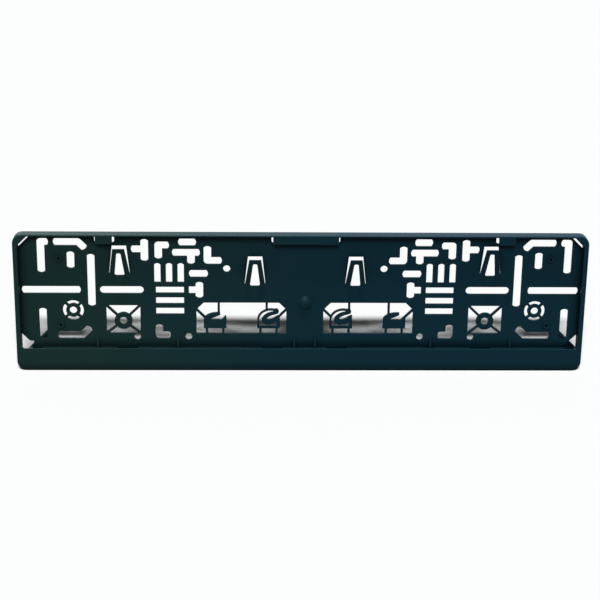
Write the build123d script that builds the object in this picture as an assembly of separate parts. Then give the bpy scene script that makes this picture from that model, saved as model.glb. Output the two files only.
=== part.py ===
from build123d import *
import os

# A car's number plate holder, moulded in one piece.
# The front faces -Y, the back face that goes against the car is the plane Y = 0, and +Z is up.
# Sketches are drawn on the plane XZ, seen from the front: first number +X, second number +Z.
# Depths are counted forwards from the back face.

# The number plate that the holder carries
plate_width = 520.0
plate_height = 110.0
plate_clearance = 1.0

# The tray
tray_depth = 10.5
base_thickness = 2.2
side_rim = 4.5
top_wall = 2.0
strip_height = 20.8
corner_radius = 9.0
front_edge_round = 1.3
inner_edge_bevel = 0.5
pocket_top_radius = 7.0
pocket_foot_radius = 5.0

# The hollows behind the rim and the strip
rim_skin = 1.5
strip_skin = 1.8
ledge_thickness = 2.0
strip_rib_count = 9
strip_rib_thickness = 1.4

# The ledge under the plate: a low lip in front, drain notches and crush ribs behind
lip_height = 1.1
lip_thickness = 2.2
lip_round = 0.9
notch_length = 19.4
notch_depth = 3.6
outer_notch_column = 166.1
inner_notch_column = 30.5
outer_crush_rib_column = 194.0
middle_crush_rib_column = 118.9
inner_crush_rib_column = 9.7
crush_rib_thickness = 2.0
crush_rib_height = 12.7
crush_rib_reach = 3.0

# The tabs and corner webs that hold the plate's front, with relief windows behind them
tab_thickness = 1.6
tab_corner = 0.8
outer_tab_column = 185.7
outer_tab_width = 15.6
outer_tab_drop = 7.0
centre_tab_width = 60.6
centre_tab_drop = 6.9
relief_margin = 1.4
relief_foot = 1.0
relief_corner = 2.0
corner_web_leg = 8.7
corner_cut_leg = 12.2

# The open lower corners, a diagonal bar across each and the shallow floor on its inner side
low_cut_leg = 13.3
corner_bar_inset = 3.6
corner_bar_reach = 18.0
corner_bar_width = 1.9
corner_floor = 0.9
corner_drain_width = 11.0
corner_drain_height = 6.0
corner_drain_depth = 7.8
inner_drain_width = 8.7

# The pattern of openings in the base is moulded a little to one side of the tray's middle
pattern_shift = 3.7

# Common slot, whose free ends are shallow arcs
slot_width = 7.0
slot_crown = 1.5
slot_edge_gap = 1.7

# Rows of slots: below the pocket's ceiling, above the tray's middle, above the ledge
top_row_drop = 7.5
middle_row_rise = 10.7
bottom_row_rise = 12.0

# Slots at the outer ends, by their distance out from the pattern's centre line
edge_column = 244.3
hook_reach = 3.6
hook_drop = 37.3
edge_slot_top = -7.5
edge_slot_foot = 8.9
corner_slot_outer = 232.8
corner_slot_bend = 210.0
corner_slot_diagonal = 4.2
stub_column = 217.1
stub_drop = 16.8
stub_length = 16.3
bar_column = 198.5
bar_drop = 19.2
bar_foot = -5.4
outer_level_inner = 208.5
inner_level_centre = 170.5
inner_level_length = 40.6
low_corner_outer = 231.2
low_corner_bend = 208.0
low_corner_diagonal = 5.2

# Slots nearer the middle
tee_column = 149.0
tee_drop = 4.6
tee_length = 21.4
tee_branch_outer = 161.4
tee_branch_drop = 14.3
gamma_column = 136.2
gamma_drop = 10.5
gamma_arm_inner = 126.2
gamma_foot_drop = 23.8
comb_centre = 126.5
comb_pitch = 10.8
comb_drop = 27.9
comb_length = 18.7
stack_centre = 125.9
stack_length = 26.0
stack_pitch = 10.4
stack_slot_width = 6.0
teeth_count = 3
comb_slot_width = 5.8
dash_centre = 109.6
dash_length = 16.5
bracket_centre = 110.7
bracket_length = 25.8
bracket_drop = 17.6
bracket_stem = 106.1
bracket_stem_drop = 28.8
angle_column = 90.9
angle_drop = 11.2
angle_foot_drop = 25.3
angle_foot_inner = 77.5
lower_dash_centre = 99.3
lower_dash_length = 17.6
lower_dash_drop = 38.1
side_tee_column = 98.5
side_tee_length = 15.8
side_tee_branch_outer = 108.3
screw_hole_column = 73.1
screw_hole_drop = 33.2
screw_hole_radius = 3.3
low_angle_column = 136.3
low_angle_rise = 22.5
low_angle_foot_inner = 125.6
outer_low_hole_column = 156.5
inner_low_hole_column = 108.7
low_hole_radius = 3.2
low_hole_rise = 10.4

# Target: a screw hole in a ring of four arc slots
target_column = 216.0
target_row = -9.5
target_hole_radius = 3.4
target_ring_inner = 6.8
target_ring_outer = 9.7
target_bridge = 2.4

# Disc on four thin spokes in a square window
disc_column = 169.5
disc_rise = 26.2
disc_radius = 8.4
disc_hole_radius = 3.5
disc_window_width = 31.5
disc_window_rise = 13.9
disc_window_height = 27.6
spoke_width = 2.2

# Long window with two spring eyes on thin spokes
eye_window_inner = 17.4
eye_window_outer = 101.4
eye_window_rise = 13.8
eye_window_height = 30.5
eye_window_chamfer = 6.8
outer_eye_column = 84.0
inner_eye_column = 33.9
eye_rise = 27.4
eye_stay_offset = 7.6
eye_strut_reach = 12.0

# Hangers above the eyes, by their distance to the right of the eye's centre
outer_left_hanger = 3.4
inner_left_hanger = -1.9
inner_right_hanger = 7.6
outer_right_hanger = -5.4

# Spring eyes: a foot block with a peak at the right, and a mouth that opens to the right
eye_half_width = 10.7
eye_foot_drop = 8.7
eye_peak_inner = 6.0
eye_peak_offset = 10.2
eye_peak_rise = 4.4
arch_half_width = 12.7

# Outer eye: its low arch is the upper jaw over a wedge-shaped mouth
jaw_rise = 7.2
jaw_tip = 4.8
jaw_tip_gap = 4.6
jaw_root = -3.5
jaw_root_gap = 1.0
jaw_sill = 0.2

# Inner eye: a tilted curl round a narrow bore, under an arch that ends in a round knob
eye_tilt = 23.0
curl_half_length = 9.0
curl_half_height = 5.8
curl_offset = 2.0
curl_rise = 1.4
bore_half_length = 5.0
bore_half_height = 1.5
bore_offset = 3.0
bore_rise = 2.7
mouth_gap = 1.8
mouth_length = 11.0
arch_rise = 10.9
arch_band = 1.9
knob_radius = 2.7
knob_offset = 6.9
knob_rise = 8.2
frame_side = 1.9
frame_foot = 2.7
frame_mouth_side = 3.0

# Sprung tongues that lean forwards and push the plate against the tabs
outer_tongue_column = 172.3
outer_tongue_drop = 10.9
inner_tongue_column = 46.8
inner_tongue_drop = 21.1
tongue_window_height = 27.0
tongue_window_head = 13.2
tongue_window_root = 19.2
tongue_tip_gap = 0.4
tongue_tip_width = 11.0
tongue_root_gap = 0.35
tongue_reach = 10.8
tongue_hole_head = 3.8
tongue_hole_root = 9.4
tongue_hole_drop = 2.0
tongue_hole_tip_bar = 4.3
tongue_hole_corner = 1.4

# Dome in the middle and small drilled pegs near the ends
dome_radius = 7.0
dome_height = 3.0
dome_row = -2.2
peg_column = 228.0
peg_drop = 23.1
low_peg_rise = 22.2
peg_radius = 3.3
peg_height = 1.4
peg_hole_radius = 1.3
peg_hole_depth = 2.9

# Places that follow from the sizes above
pocket_width = plate_width + 2 * plate_clearance
pocket_height = plate_height + plate_clearance
tray_width = pocket_width + 2 * side_rim
tray_height = strip_height + pocket_height + top_wall
bottom = -tray_height / 2
top = tray_height / 2
ledge = bottom + strip_height
ceiling = ledge + pocket_height
wall = pocket_width / 2
top_row = ceiling - top_row_drop
middle_row = middle_row_rise
bottom_row = ledge + bottom_row_rise
slot_end = slot_width / 2
# Tabs and webs end in the middle of the flat left between the rim's bevel and its front round.
tab_root = (top_wall + inner_edge_bevel - front_edge_round) / 2
overlap = 1.0


def prism(sketch, back, front):
    """Extrude a sketch seen from the front, between two depths."""
    return extrude(Plane.XZ.offset(back) * sketch, amount=front - back)


def box_between(left, right, low, high, back, front):
    """Box between two limits each way; back and front are depths."""
    middle = Pos((left + right) / 2, (low + high) / 2)
    return prism(middle * Rectangle(right - left, high - low), back, front)


def between(start, end):
    """Place halfway between two points, turned along their line, and the distance between them."""
    line = Vector(*end) - Vector(*start)
    middle = (Vector(*start) + Vector(*end)) / 2
    angle = Vector(1, 0).get_signed_angle(line, Vector(0, 0, 1))
    return Pos(middle.X, middle.Y) * Rot(0, 0, angle), line.length


def spoke(start, end):
    """Thin round-ended spoke between the centres of its two ends."""
    place, length = between(start, end)
    return place * SlotCenterToCenter(length, spoke_width)


def stretch(start, end, width=slot_width):
    """Straight stretch of a slot between two points of its centre line."""
    place, length = between(start, end)
    return place * Rectangle(length, width)


def slot_cap(before, point, width=slot_width):
    """Crowned free end of a slot whose centre line arrives at a point."""
    place, length = between(before, point)
    half = width / 2
    shoulder = slot_end - slot_crown
    sides = Polyline((shoulder, half), (0, half), (0, -half), (shoulder, -half))
    crown = ThreePointArc((shoulder, -half), (slot_end, 0), (shoulder, half))
    return place * Pos(length / 2, 0) * make_face(sides + crown)


def spur(start, end, width=slot_width):
    """Slot with a square start and a crowned end."""
    return stretch(start, end, width) + slot_cap(start, end, width)


def path_slot(*points):
    """Slot along a bent line of centre points, with round bends and crowned ends."""
    shapes = [stretch(start, end) for start, end in zip(points, points[1:])]
    shapes += [Pos(*point) * Circle(slot_end) for point in points[1:-1]]
    shapes += [slot_cap(points[1], points[0]), slot_cap(points[-2], points[-1])]
    return Sketch() + shapes


def level_slot(inner, outer, row):
    """Level slot between its two tips."""
    return path_slot((inner + slot_end, row), (outer - slot_end, row))


def upright_slot(column, low, high):
    """Upright slot between its two tips."""
    return path_slot((column, low + slot_end), (column, high - slot_end))


def both_halves(sketch):
    """A right-half sketch together with its mirror image, moved to the pattern's centre line."""
    return Pos(pattern_shift, 0) * (Sketch() + [sketch, mirror(sketch, about=Plane.YZ)])


def pocket_outline():
    """Plate pocket seen from the front, with rounder corners at the top."""
    outline = Pos(0, (ledge + ceiling) / 2) * Rectangle(pocket_width, pocket_height)
    outline = fillet(outline.vertices().group_by(Axis.Y)[0], pocket_foot_radius)
    return fillet(outline.vertices().group_by(Axis.Y)[-1], pocket_top_radius)


def end_slots():
    """Slots near the ends of one half."""
    hook = path_slot(
        (edge_column - hook_reach, top_row),
        (edge_column, top_row),
        (edge_column, ceiling - hook_drop + slot_end),
    )
    corner_slot = path_slot(
        (corner_slot_outer - slot_end, top_row),
        (corner_slot_bend, top_row),
        (corner_slot_bend - corner_slot_diagonal, top_row - corner_slot_diagonal),
    )
    low_corner = path_slot(
        (low_corner_outer - slot_end, bottom_row),
        (low_corner_bend, bottom_row),
        (low_corner_bend - low_corner_diagonal, bottom_row + low_corner_diagonal),
    )
    stub_top = ceiling - stub_drop
    return [
        hook,
        corner_slot,
        low_corner,
        upright_slot(edge_column, ledge + edge_slot_foot, edge_slot_top),
        upright_slot(stub_column, stub_top - stub_length, stub_top),
        upright_slot(bar_column, bar_foot, ceiling - bar_drop),
        Pos(inner_level_centre, middle_row) * SlotOverall(inner_level_length, slot_width),
    ]


def letter_slots():
    """Bent and branched slots of one half."""
    tee_top = ceiling - tee_drop
    tee_branch_row = ceiling - tee_branch_drop
    gamma_row = ceiling - gamma_drop
    bracket_row = ceiling - bracket_drop
    angle_foot_row = ceiling - angle_foot_drop
    half_dash = dash_length / 2
    half_bracket = bracket_length / 2
    half_lower_dash = lower_dash_length / 2
    half_side_tee = side_tee_length / 2
    lower_dash_row = ceiling - lower_dash_drop
    return [
        upright_slot(tee_column, tee_top - tee_length, tee_top),
        spur((tee_column, tee_branch_row), (tee_branch_outer - slot_end, tee_branch_row)),
        path_slot(
            (gamma_arm_inner + slot_end, gamma_row),
            (gamma_column, gamma_row),
            (gamma_column, ceiling - gamma_foot_drop + slot_end),
        ),
        level_slot(dash_centre - half_dash, dash_centre + half_dash, top_row),
        level_slot(bracket_centre - half_bracket, bracket_centre + half_bracket, bracket_row),
        spur((bracket_stem, bracket_row), (bracket_stem, ceiling - bracket_stem_drop + slot_end)),
        path_slot(
            (angle_column, ceiling - angle_drop - slot_end),
            (angle_column, angle_foot_row),
            (angle_foot_inner + slot_end, angle_foot_row),
        ),
        level_slot(
            lower_dash_centre - half_lower_dash,
            lower_dash_centre + half_lower_dash,
            lower_dash_row,
        ),
        upright_slot(side_tee_column, middle_row - half_side_tee, middle_row + half_side_tee),
        stretch((side_tee_column, middle_row), (side_tee_branch_outer, middle_row)),
        path_slot(
            (low_angle_column, ledge + low_angle_rise - slot_end),
            (low_angle_column, bottom_row),
            (low_angle_foot_inner + slot_end, bottom_row),
        ),
    ]


def toothed_slots():
    """Comb of upright slots, the stack of level slots below it and the low round holes."""
    comb_top = ceiling - comb_drop
    shapes = []
    for tooth in range(teeth_count):
        column = comb_centre + (tooth - (teeth_count - 1) / 2) * comb_pitch
        root, tip = (column, comb_top - comb_length), (column, comb_top - slot_end)
        shapes.append(spur(root, tip, comb_slot_width))
        row = middle_row - tooth * stack_pitch
        shapes.append(Pos(stack_centre, row) * Rectangle(stack_length, stack_slot_width))
    for column in (outer_low_hole_column, inner_low_hole_column):
        shapes.append(Pos(column, ledge + low_hole_rise) * Circle(low_hole_radius))
    return shapes


def target():
    """Screw hole in a ring of four arc slots."""
    ring = Circle(target_ring_outer) - Circle(target_ring_inner)
    for angle in (45, -45):
        ring -= Rot(0, 0, angle) * Rectangle(3 * target_ring_outer, target_bridge)
    return Pos(target_column, target_row) * (ring + Circle(target_hole_radius))


def disc_window():
    """Square window with a drilled disc on four thin spokes."""
    low = ledge + disc_window_rise
    frame = Pos(disc_column, low + disc_window_height / 2)
    opening = frame * Rectangle(disc_window_width, disc_window_height)
    centre = (disc_column, ledge + disc_rise)
    for side in (-1, 1):
        corner_x = disc_column + side * disc_window_width / 2
        opening -= spoke(centre, (corner_x, low))
        opening -= spoke(centre, (corner_x, low + disc_window_height))
    return (opening - Pos(*centre) * Circle(disc_radius)) + Pos(*centre) * Circle(disc_hole_radius)


def right_of(column, width, low, high):
    """Rectangle from a column to the right, between two heights."""
    return Pos(column + width / 2, (low + high) / 2) * Rectangle(width, high - low)


def eye_arch(rise, band, right):
    """Area under an eye's arch up to its right end, taken in from its outside by a band."""
    left_edge = arch_half_width - eye_half_width
    arch = Pos(left_edge, 0) * Ellipse(arch_half_width - band, rise - band)
    return arch & right_of(-arch_half_width, arch_half_width + right, 0, rise)


def eye_foot():
    """Foot block of a spring eye."""
    return right_of(-eye_half_width, 2 * eye_half_width, -eye_foot_drop, 0)


def eye_peak():
    """Peak at the right of an eye's lower jaw."""
    return Polygon(
        (eye_peak_inner, 0),
        (eye_half_width, 0),
        (eye_peak_offset, eye_peak_rise),
        align=None,
    )


def outer_eye():
    """Outline of an outer spring eye and its mouth."""
    outline = eye_foot() + eye_peak() + eye_arch(jaw_rise, 0, jaw_tip)
    mouth = Polygon(
        (jaw_root, jaw_sill),
        (eye_peak_inner, jaw_sill),
        (eye_peak_inner, jaw_tip_gap),
        (jaw_tip, jaw_tip_gap),
        (jaw_root, jaw_root_gap),
        align=None,
    )
    return outline, mouth & outline


def inner_eye():
    """Outline of an inner spring eye, and its mouth with the gap round the curl."""
    curl = Pos(curl_offset, curl_rise) * Rot(0, 0, eye_tilt) * Ellipse(curl_half_length, curl_half_height)
    knob = Pos(knob_offset, knob_rise) * Circle(knob_radius)
    solid = curl + eye_peak() + knob
    outline = eye_foot() + eye_arch(arch_rise, 0, knob_offset) + solid
    mouth = Ellipse(bore_half_length, bore_half_height)
    mouth += right_of(0, mouth_length, -mouth_gap / 2, mouth_gap / 2)
    mouth = Pos(bore_offset, bore_rise) * Rot(0, 0, eye_tilt) * mouth
    gap_width = 2 * eye_half_width - frame_side - frame_mouth_side
    gap = right_of(frame_side - eye_half_width, gap_width, frame_foot - eye_foot_drop, 0)
    gap += eye_arch(arch_rise, arch_band, knob_offset)
    return outline, (gap - solid + mouth) & outline


def eye_window(side):
    """Long window of one half with its two spring eyes, which open the same way on both halves."""
    low = ledge + eye_window_rise
    high = low + eye_window_height
    shoulder = high - eye_window_chamfer
    left, right = sorted((side * eye_window_inner, side * eye_window_outer))
    opening = Polygon(
        (left, low),
        (right, low),
        (right, shoulder),
        (right - eye_window_chamfer, high),
        (left + eye_window_chamfer, high),
        (left, shoulder),
        align=None,
    )
    row = ledge + eye_rise
    outer_hanger, inner_hanger = outer_right_hanger, inner_right_hanger
    if side < 0:
        outer_hanger, inner_hanger = outer_left_hanger, inner_left_hanger
    eyes = [
        (outer_eye_column, eye_window_outer, -eye_strut_reach, outer_hanger, outer_eye()),
        (inner_eye_column, eye_window_inner, eye_strut_reach, inner_hanger, inner_eye()),
    ]
    for column, window_end, inward, hanger, (outline, holes) in eyes:
        centre = side * column
        strut_end = (side * (window_end + inward), shoulder - eye_strut_reach)
        opening -= spoke((side * window_end, shoulder), strut_end)
        opening -= spoke((centre + hanger, row), (centre + hanger, high))
        for stay in (centre - eye_stay_offset, centre + eye_stay_offset):
            opening -= spoke((stay, low), (stay, row))
        opening = opening - Pos(centre, row) * outline + Pos(centre, row) * holes
    return Pos(pattern_shift, 0) * opening


def openings():
    """Every opening moulded through the base, seen from the front."""
    screw_hole = Pos(screw_hole_column, ceiling - screw_hole_drop) * Circle(screw_hole_radius)
    slots = end_slots() + letter_slots() + toothed_slots()
    half = Sketch() + slots + [screw_hole, target(), disc_window()]
    right_level = level_slot(pattern_shift + outer_level_inner, wall - slot_edge_gap, middle_row)
    left_level = level_slot(slot_edge_gap - wall, pattern_shift - outer_level_inner, middle_row)
    return both_halves(half) + [right_level, left_level, eye_window(1), eye_window(-1)]


def tab_frames():
    """Centre, width and drop of the three tabs."""
    outer = (outer_tab_width, outer_tab_drop)
    return [
        (pattern_shift - outer_tab_column, *outer),
        (pattern_shift, centre_tab_width, centre_tab_drop),
        (pattern_shift + outer_tab_column, *outer),
    ]


def corner_cut(side, height, leg, into_wall=0):
    """Square standing on its corner, which covers a triangle of the pocket's corner at its centre."""
    edge = 2**0.5 * leg
    return Pos(side * (wall + into_wall), height) * Rot(0, 0, 45) * Rectangle(edge, edge)


def relief_windows():
    """Windows in the base behind the tabs and in its four corners, where the mould reaches through."""
    pocket = pocket_outline()
    windows = []
    for centre, width, drop in tab_frames():
        height = drop + relief_foot
        window = Pos(centre, ceiling - height / 2) * Rectangle(width + 2 * relief_margin, height)
        windows.append(fillet(window.vertices().group_by(Axis.Y)[0], relief_corner))
    for side in (-1, 1):
        windows.append(corner_cut(side, ceiling, corner_cut_leg) & pocket)
        windows.append(corner_cut(side, ledge, low_cut_leg) & pocket)
    return Sketch() + windows


def inside_of_bars(bar_width=0):
    """Areas on the inner side of the diagonal bars across the lower corners, with or without the bars."""
    start = wall - corner_bar_inset
    drop = ledge_thickness + overlap
    area = Polygon(
        (start + drop, ledge - drop),
        (start - corner_bar_reach, ledge + corner_bar_reach),
        (start - corner_bar_reach, ledge - drop),
        align=None,
    )
    return both_halves(Pos(-(2**0.5) * bar_width, 0) * area)


def corner_drains():
    """Openings down through the ledge on the outer side of the diagonal bars."""
    low = ledge - ledge_thickness - overlap
    high = ledge + corner_drain_height
    left = right_of(-wall, corner_drain_width, low, high)
    right = right_of(wall - corner_drain_width, corner_drain_width, low, high)
    return prism(Sketch() + [left, right] - inside_of_bars(), 0, corner_drain_depth)


def inner_drains():
    """Openings down through the ledge in front of the bars' inner sides."""
    low = ledge - ledge_thickness - overlap
    end = wall - corner_bar_inset - 2**0.5 * corner_bar_width
    areas = both_halves(right_of(end - inner_drain_width, inner_drain_width, low, ledge + overlap))
    return prism(areas, base_thickness, corner_drain_depth)


def hollows():
    """Hollows open to the back: one in each side rim, and the strip's between its cross ribs."""
    groove_top = top - corner_radius
    ledge_foot = ledge - ledge_thickness
    groove_width = side_rim - 2 * rim_skin
    cavity_height = ledge_foot - bottom - strip_skin
    cavity_width = tray_width - 2 * strip_skin
    cavity = Pos(0, ledge_foot - cavity_height / 2) * Rectangle(cavity_width, cavity_height)
    cavity = fillet(cavity.vertices().group_by(Axis.Y)[0], corner_radius - strip_skin)
    rib_pitch = cavity_width / (strip_rib_count + 1)
    for rib in range(strip_rib_count):
        column = (rib + 1) * rib_pitch - cavity_width / 2
        cavity -= Pos(column, ledge_foot - cavity_height / 2) * Rectangle(strip_rib_thickness, cavity_height)
    solids = prism(cavity, 0, tray_depth - strip_skin)
    for side in (-1, 1):
        column = side * (wall + rim_skin + groove_width / 2)
        groove = Pos(column, (groove_top + ledge) / 2) * Rectangle(groove_width, groove_top - ledge)
        solids += prism(groove, 0, tray_depth - rim_skin)
    return solids


def tray():
    """Tray with its plate pocket, hollow behind."""
    block = prism(RectangleRounded(tray_width, tray_height, corner_radius), 0, tray_depth)
    block = fillet(block.faces().sort_by(Axis.Y)[0].edges(), front_edge_round)
    block -= prism(pocket_outline(), base_thickness, tray_depth)
    front = block.faces().filter_by(Axis.Y).sort_by(Axis.Y)[0]
    block = chamfer(front.inner_wires()[0].edges(), inner_edge_bevel)
    return block - hollows()


def lip():
    """Low rounded lip along the front of the ledge that the plate snaps behind."""
    ridge = box_between(
        -wall - side_rim / 2,
        wall + side_rim / 2,
        ledge - ledge_thickness / 2,
        ledge + lip_height,
        tray_depth - lip_thickness,
        tray_depth,
    )
    back_edge = ridge.faces().sort_by(Axis.Z)[-1].edges().filter_by(Axis.X).sort_by(Axis.Y)[-1]
    return fillet(back_edge, lip_round)


def tabs():
    """Tabs and corner webs in the front plane of the tray."""
    back = tray_depth - tab_thickness
    shapes = []
    for centre, width, drop in tab_frames():
        height = drop + tab_root
        outline = Pos(centre, ceiling - drop + height / 2) * Rectangle(width, height)
        shapes.append(fillet(outline.vertices().group_by(Axis.Y)[0], tab_corner))
    room = offset(pocket_outline(), tab_root)
    for side in (-1, 1):
        leg = corner_web_leg + 2 * tab_root
        shapes.append(corner_cut(side, ceiling + tab_root, leg, tab_root) & room)
    return prism(Sketch() + shapes, back, tray_depth)


def tongue_hole(window_top):
    """Tapered hole in a tongue, which runs on a little below its root."""
    foot = window_top - tongue_window_height - tongue_hole_drop
    head = window_top - tongue_tip_gap - tongue_hole_tip_bar
    hole = Polygon(
        (-tongue_hole_root / 2, foot),
        (tongue_hole_root / 2, foot),
        (tongue_hole_head / 2, head),
        (-tongue_hole_head / 2, head),
        align=None,
    )
    return fillet(hole.vertices(), tongue_hole_corner)


def tongue(centre, window_top):
    """Leaning tongue, as wide at its root as its window allows."""
    root = window_top - tongue_window_height
    tip = window_top - tongue_tip_gap
    half_root = tongue_window_root / 2 - tongue_root_gap
    half_tip = tongue_tip_width / 2
    outline = Polygon(
        (-half_root, root - overlap),
        (half_root, root - overlap),
        (half_root, root),
        (half_tip, tip),
        (-half_tip, tip),
        (-half_root, root),
        align=None,
    )
    reach = base_thickness + tongue_reach
    side_view = Polygon(
        (0, root - overlap),
        (-base_thickness, root - overlap),
        (-base_thickness, root),
        (-reach, tip),
        (-tongue_reach, tip),
        (0, root),
        align=None,
    )
    leaning = extrude(Plane.YZ * side_view, amount=half_root, both=True)
    return Pos(centre, 0, 0) * (prism(outline - tongue_hole(window_top), 0, reach) & leaning)


def tongue_window(centre, window_top):
    """Tapered window that a tongue leans out of, with the foot of the tongue's hole below it."""
    outline = Polygon(
        (-tongue_window_root / 2, window_top - tongue_window_height),
        (tongue_window_root / 2, window_top - tongue_window_height),
        (tongue_window_head / 2, window_top),
        (-tongue_window_head / 2, window_top),
        align=None,
    )
    return Pos(centre, 0) * (outline + tongue_hole(window_top))


def crush_ribs():
    """Thin wedges above the ledge that press the plate's foot against the lip."""
    wedge = Polygon(
        (-base_thickness + overlap, ledge - overlap),
        (-base_thickness - crush_rib_reach, ledge - overlap),
        (-base_thickness - crush_rib_reach, ledge),
        (-base_thickness, ledge + crush_rib_height),
        (-base_thickness + overlap, ledge + crush_rib_height),
        align=None,
    )
    rib = extrude(Plane.YZ * wedge, amount=crush_rib_thickness / 2, both=True)
    columns = (outer_crush_rib_column, middle_crush_rib_column, inner_crush_rib_column)
    return [Pos(side * column + pattern_shift, 0, 0) * rib for column in columns for side in (-1, 1)]


def drain_notches():
    """Slots down through the ledge, close to the base."""
    notches = []
    for column in (outer_notch_column, inner_notch_column):
        for side in (-1, 1):
            centre = side * column + pattern_shift
            half = notch_length / 2
            limits = (centre - half, centre + half, ledge - ledge_thickness - overlap, ledge + overlap)
            notches.append(box_between(*limits, base_thickness, base_thickness + notch_depth))
    return notches


def dome():
    """Shallow dome on the pattern's centre line."""
    ball_radius = (dome_radius**2 + dome_height**2) / (2 * dome_height)
    ball = Pos(pattern_shift, ball_radius - base_thickness - dome_height, dome_row) * Sphere(ball_radius)
    outline = Pos(pattern_shift, dome_row) * Circle(dome_radius)
    return ball & prism(outline, overlap, base_thickness + dome_height)


def peg_circles(radius):
    """Circle at each peg's place."""
    rows = (ceiling - peg_drop, ledge + low_peg_rise)
    places = [(side * peg_column + pattern_shift, row) for row in rows for side in (-1, 1)]
    return Sketch() + [Pos(*place) * Circle(radius) for place in places]


def plate_holder():
    """The whole holder as one moulded solid."""
    tongue_frames = []
    for side in (-1, 1):
        tongue_frames.append((side * outer_tongue_column + pattern_shift, ceiling - outer_tongue_drop))
        tongue_frames.append((side * inner_tongue_column + pattern_shift, ceiling - inner_tongue_drop))
    cut = openings() + relief_windows() + [tongue_window(*frame) for frame in tongue_frames]
    holder = tray() - prism(cut - inside_of_bars(), 0, base_thickness)
    holder -= prism(cut & inside_of_bars(corner_bar_width), corner_floor, base_thickness)
    holder = holder - corner_drains() - inner_drains()
    peg_end = base_thickness + peg_height
    pegs = prism(peg_circles(peg_radius), overlap, peg_end)
    holder = holder + lip() + tabs() + crush_ribs() + dome() + pegs
    holder += [tongue(*frame) for frame in tongue_frames]
    holder -= prism(peg_circles(peg_hole_radius), peg_end - peg_hole_depth, peg_end)
    return holder - drain_notches()


os.makedirs("parts", exist_ok=True)
export_step(plate_holder(), "parts/plate_holder.step")
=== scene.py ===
"""Looks of the number plate holder: satin black moulded plastic on a pale studio floor."""

import math

import bpy
from mathutils import Matrix, Vector


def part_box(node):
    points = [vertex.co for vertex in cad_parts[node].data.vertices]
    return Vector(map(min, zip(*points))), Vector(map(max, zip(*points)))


HOLDER = "plate_holder"

# Camera: the view that the photograph was taken from, fitted to the tray's outline
CAMERA_YAW = 0.03398
CAMERA_PITCH = 0.35035
CAMERA_ROLL = -0.01397
CAMERA_OFFSET_X = 0.000934
CAMERA_OFFSET_Y = -0.000251
CAMERA_DISTANCE = 1.598109
FOCAL_PIXELS = 1708.0
IMAGE_PIXELS = 600
SENSOR_MM = 36.0

# Studio, lengths in metres
FLOOR_SIZE = 12.0
FLOOR_COLOUR = (0.93, 0.94, 0.94)
FLOOR_BOUNCE_COLOUR = (0.30, 0.31, 0.31)
FLOOR_ROUGHNESS = 0.9
FLOOR_SPECULAR = 0.0
WORLD_COLOUR = (1.0, 1.0, 1.0)
WORLD_STRENGTH = 0.05

# Strip light over the floor, made of lamps side by side
KEY_STRENGTH = 4.4
KEY_SPREAD_DEGREES = 4.5
KEY_ELEVATION_DEGREES = 45.5
KEY_AZIMUTHS_DEGREES = (-12.0, -8.0, -4.0, 0.0, 4.0, 8.0)

# Lamps on the holder: name, strength, then spread, elevation and azimuth in degrees
HOLDER_LAMPS = (
    ("front", 3.15, 28.0, 39.0, -2.0),
    ("top", 5.7, 12.0, 83.0, 0.0),
    ("back", 1.2, 20.0, 32.0, -160.0),
    ("rear", 2.4, 20.0, 62.0, 180.0),
)

# Moulded plastic, lengths in metres
PLASTIC_GREENISH = (0.0059, 0.0197, 0.0180)
PLASTIC_BLUISH = (0.0022, 0.0156, 0.0246)
PLASTIC_SPECULAR = 0.04
TINT_START = -0.22
TINT_END = 0.06
TINT_SCALE = 9.0
TINT_DETAIL = 2.0
TINT_PATCHES = 0.35
# Painted shade in corners: how far it reaches, how deep it goes and its samples
PAINTED_SHADE_REACH = 0.010
PAINTED_SHADE_DEPTH = 1.6
PAINTED_SHADE_SAMPLES = 24
GRAIN_SCALE = 1400.0
GRAIN_DETAIL = 2.0
GRAIN_DEPTH = 0.00004
GRAIN_STRENGTH = 0.25
GLOSS_SCALE = 160.0
GLOSS_DETAIL = 3.0
ROUGHNESS_LOW = 0.32
ROUGHNESS_HIGH = 0.44

# Broken edges of the moulding, lengths in metres
EDGE_RADIUS = 0.00015
EDGE_SEGMENTS = 1
EDGE_ANGLE_DEGREES = 35.0
WELD_DISTANCE = 0.000002
LARGE_FACE_WEIGHT = 100


def new_material(name):
    """Empty node material with a Principled shader, its node tree and that shader."""
    material = bpy.data.materials.new(name)
    material.use_nodes = True
    tree = material.node_tree
    return material, tree, tree.nodes["Principled BSDF"]


def noise(tree, coordinates, scale, detail):
    """Noise texture on the object's own coordinates."""
    texture = tree.nodes.new("ShaderNodeTexNoise")
    texture.inputs["Scale"].default_value = scale
    texture.inputs["Detail"].default_value = detail
    tree.links.new(coordinates.outputs["Object"], texture.inputs["Vector"])
    return texture


def tint(tree, coordinates):
    """Colour that changes slowly from greenish to bluish along the holder, in soft patches."""
    place = tree.nodes.new("ShaderNodeSeparateXYZ")
    tree.links.new(coordinates.outputs["Object"], place.inputs["Vector"])
    along = tree.nodes.new("ShaderNodeMapRange")
    along.inputs["From Min"].default_value = TINT_START
    along.inputs["From Max"].default_value = TINT_END
    along.inputs["To Min"].default_value = -TINT_PATCHES / 2
    along.inputs["To Max"].default_value = 1 - TINT_PATCHES / 2
    tree.links.new(place.outputs["X"], along.inputs["Value"])
    patches = noise(tree, coordinates, TINT_SCALE, TINT_DETAIL)
    share = tree.nodes.new("ShaderNodeMath")
    share.operation = "MULTIPLY_ADD"
    share.inputs[1].default_value = TINT_PATCHES
    tree.links.new(patches.outputs["Fac"], share.inputs[0])
    tree.links.new(along.outputs["Result"], share.inputs[2])
    colours = tree.nodes.new("ShaderNodeValToRGB")
    colours.color_ramp.elements[0].color = (*PLASTIC_GREENISH, 1.0)
    colours.color_ramp.elements[1].color = (*PLASTIC_BLUISH, 1.0)
    tree.links.new(share.outputs["Value"], colours.inputs["Fac"])
    return colours.outputs["Color"]


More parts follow.
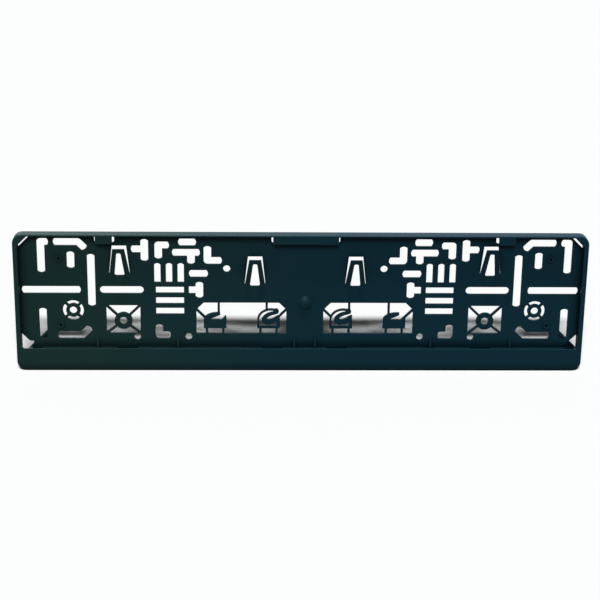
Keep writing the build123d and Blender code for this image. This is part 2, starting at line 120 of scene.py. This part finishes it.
def painted_corner_shade(tree, colour):
    """The same colour with painted shade, darkened where surfaces stand close together."""
    # Painted shade: ambient occlusion darkens the colour in corners, pockets and under overhangs
    corners = tree.nodes.new("ShaderNodeAmbientOcclusion")
    corners.samples = PAINTED_SHADE_SAMPLES
    corners.inputs["Distance"].default_value = PAINTED_SHADE_REACH
    deeper_shade = tree.nodes.new("ShaderNodeMath")
    deeper_shade.operation = "POWER"
    deeper_shade.inputs[1].default_value = PAINTED_SHADE_DEPTH
    tree.links.new(corners.outputs["AO"], deeper_shade.inputs[0])
    painted_shade_colour = tree.nodes.new("ShaderNodeVectorMath")
    painted_shade_colour.operation = "SCALE"
    tree.links.new(colour, painted_shade_colour.inputs[0])
    tree.links.new(deeper_shade.outputs["Value"], painted_shade_colour.inputs["Scale"])
    return painted_shade_colour.outputs["Vector"]


def plastic_material():
    """Satin black plastic: slow change of tint, painted shade in corners, patchy gloss and a fine moulded
    grain.
    """
    material, tree, shader = new_material("moulded_plastic")
    coordinates = tree.nodes.new("ShaderNodeTexCoord")
    # Base colour with painted shade in corners and pockets
    colour = painted_corner_shade(tree, tint(tree, coordinates))
    tree.links.new(colour, shader.inputs["Base Color"])

    gloss = noise(tree, coordinates, GLOSS_SCALE, GLOSS_DETAIL)
    roughness = tree.nodes.new("ShaderNodeMapRange")
    roughness.inputs["To Min"].default_value = ROUGHNESS_LOW
    roughness.inputs["To Max"].default_value = ROUGHNESS_HIGH
    tree.links.new(gloss.outputs["Fac"], roughness.inputs["Value"])
    tree.links.new(roughness.outputs["Result"], shader.inputs["Roughness"])

    grain = noise(tree, coordinates, GRAIN_SCALE, GRAIN_DETAIL)
    bump = tree.nodes.new("ShaderNodeBump")
    bump.inputs["Strength"].default_value = GRAIN_STRENGTH
    bump.inputs["Distance"].default_value = GRAIN_DEPTH
    tree.links.new(grain.outputs["Fac"], bump.inputs["Height"])
    tree.links.new(bump.outputs["Normal"], shader.inputs["Normal"])

    shader.inputs["Specular IOR Level"].default_value = PLASTIC_SPECULAR
    return material


def dress_holder(holder):
    """Give the moulding its plastic and break its sharp edges so that they catch the light."""
    holder.data.materials.clear()
    holder.data.materials.append(plastic_material())
    weld = holder.modifiers.new("weld", "WELD")
    weld.merge_threshold = WELD_DISTANCE
    edges = holder.modifiers.new("edges", "BEVEL")
    edges.width = EDGE_RADIUS
    edges.segments = EDGE_SEGMENTS
    edges.limit_method = "ANGLE"
    edges.angle_limit = math.radians(EDGE_ANGLE_DEGREES)
    edges.use_clamp_overlap = False
    normals = holder.modifiers.new("normals", "WEIGHTED_NORMAL")
    normals.weight = LARGE_FACE_WEIGHT
    for polygon in holder.data.polygons:
        polygon.use_smooth = True


def seen_or_mirrored(tree):
    """Output that is 1 for what is seen directly, mirrored or through glass, and 0 for bounced light."""
    path = tree.nodes.new("ShaderNodeLightPath")
    seen = path.outputs["Is Camera Ray"]
    for ray in ("Is Glossy Ray", "Is Transmission Ray"):
        larger = tree.nodes.new("ShaderNodeMath")
        larger.operation = "MAXIMUM"
        tree.links.new(seen, larger.inputs[0])
        tree.links.new(path.outputs[ray], larger.inputs[1])
        seen = larger.outputs["Value"]
    return seen


def add_floor(height):
    """Pale floor under the object, which throws less light back than it shows."""
    half = FLOOR_SIZE / 2
    corners = [(-half, -half, height), (half, -half, height), (half, half, height), (-half, half, height)]
    mesh = bpy.data.meshes.new("floor")
    mesh.from_pydata(corners, [], [(0, 1, 2, 3)])
    material, tree, shader = new_material("floor")
    colours = tree.nodes.new("ShaderNodeValToRGB")
    colours.color_ramp.elements[0].color = (*FLOOR_BOUNCE_COLOUR, 1.0)
    colours.color_ramp.elements[1].color = (*FLOOR_COLOUR, 1.0)
    tree.links.new(seen_or_mirrored(tree), colours.inputs["Fac"])
    tree.links.new(colours.outputs["Color"], shader.inputs["Base Color"])
    shader.inputs["Roughness"].default_value = FLOOR_ROUGHNESS
    shader.inputs["Specular IOR Level"].default_value = FLOOR_SPECULAR
    mesh.materials.append(material)
    floor = bpy.data.objects.new("floor", mesh)
    bpy.context.scene.collection.objects.link(floor)
    return floor


def alone(thing):
    """Collection that lets a lamp fall on this one thing."""
    collection = bpy.data.collections.new(thing.name + "_alone")
    collection.objects.link(thing)
    return collection


def add_sun(name, strength, spread, elevation, azimuth, lit):
    """Lamp so far away that its light is even, turned in degrees from straight in front."""
    lamp = bpy.data.lights.new(name, "SUN")
    lamp.energy = strength
    lamp.angle = math.radians(spread)
    sun = bpy.data.objects.new(name, lamp)
    turn = Matrix.Rotation(math.radians(azimuth), 4, "Z")
    sun.matrix_world = turn @ Matrix.Rotation(math.radians(90 - elevation), 4, "X")
    sun.light_linking.receiver_collection = lit
    bpy.context.scene.collection.objects.link(sun)


def add_lights(holder, floor):
    """Strip light for the floor and its shadow; soft lamps in front, above and behind for the holder."""
    floor_alone = alone(floor)
    share = KEY_STRENGTH / len(KEY_AZIMUTHS_DEGREES)
    for azimuth in KEY_AZIMUTHS_DEGREES:
        add_sun("key", share, KEY_SPREAD_DEGREES, KEY_ELEVATION_DEGREES, azimuth, floor_alone)
    holder_alone = alone(holder)
    for name, strength, spread, elevation, azimuth in HOLDER_LAMPS:
        add_sun(name, strength, spread, elevation, azimuth, holder_alone)


def add_world():
    """Soft light from all round, which is plain white where it is seen or reflected."""
    world = bpy.data.worlds.new("studio")
    world.use_nodes = True
    tree = world.node_tree
    background = tree.nodes["Background"]
    background.inputs["Color"].default_value = (*WORLD_COLOUR, 1.0)
    level = tree.nodes.new("ShaderNodeMapRange")
    level.inputs["To Min"].default_value = WORLD_STRENGTH
    tree.links.new(seen_or_mirrored(tree), level.inputs["Value"])
    tree.links.new(level.outputs["Result"], background.inputs["Strength"])
    bpy.context.scene.world = world


def add_camera():
    """Camera at the photograph's viewing angle."""
    to_camera = (
        Matrix.Rotation(CAMERA_ROLL, 3, "Z")
        @ Matrix.Rotation(CAMERA_PITCH, 3, "X")
        @ Matrix.Rotation(CAMERA_YAW, 3, "Y")
    )
    turn = Matrix.Rotation(math.radians(90), 3, "X") @ to_camera.transposed()
    place = turn @ Vector((-CAMERA_OFFSET_X, -CAMERA_OFFSET_Y, CAMERA_DISTANCE))
    data = bpy.data.cameras.new("camera")
    data.sensor_width = SENSOR_MM
    data.lens = FOCAL_PIXELS / IMAGE_PIXELS * SENSOR_MM
    camera = bpy.data.objects.new("camera", data)
    camera.matrix_world = Matrix.Translation(place) @ turn.to_4x4()
    bpy.context.scene.collection.objects.link(camera)
    bpy.context.scene.camera = camera


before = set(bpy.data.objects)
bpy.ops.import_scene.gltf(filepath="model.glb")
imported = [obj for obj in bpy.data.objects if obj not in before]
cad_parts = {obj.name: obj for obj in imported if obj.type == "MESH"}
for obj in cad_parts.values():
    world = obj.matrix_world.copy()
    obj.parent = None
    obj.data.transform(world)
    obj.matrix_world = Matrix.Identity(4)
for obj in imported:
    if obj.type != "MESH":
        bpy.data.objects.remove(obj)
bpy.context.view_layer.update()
bpy.context.scene.view_settings.view_transform = "Standard"

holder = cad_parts[HOLDER]
dress_holder(holder)
floor = add_floor(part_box(HOLDER)[0].z)
add_lights(holder, floor)
add_world()
add_camera()
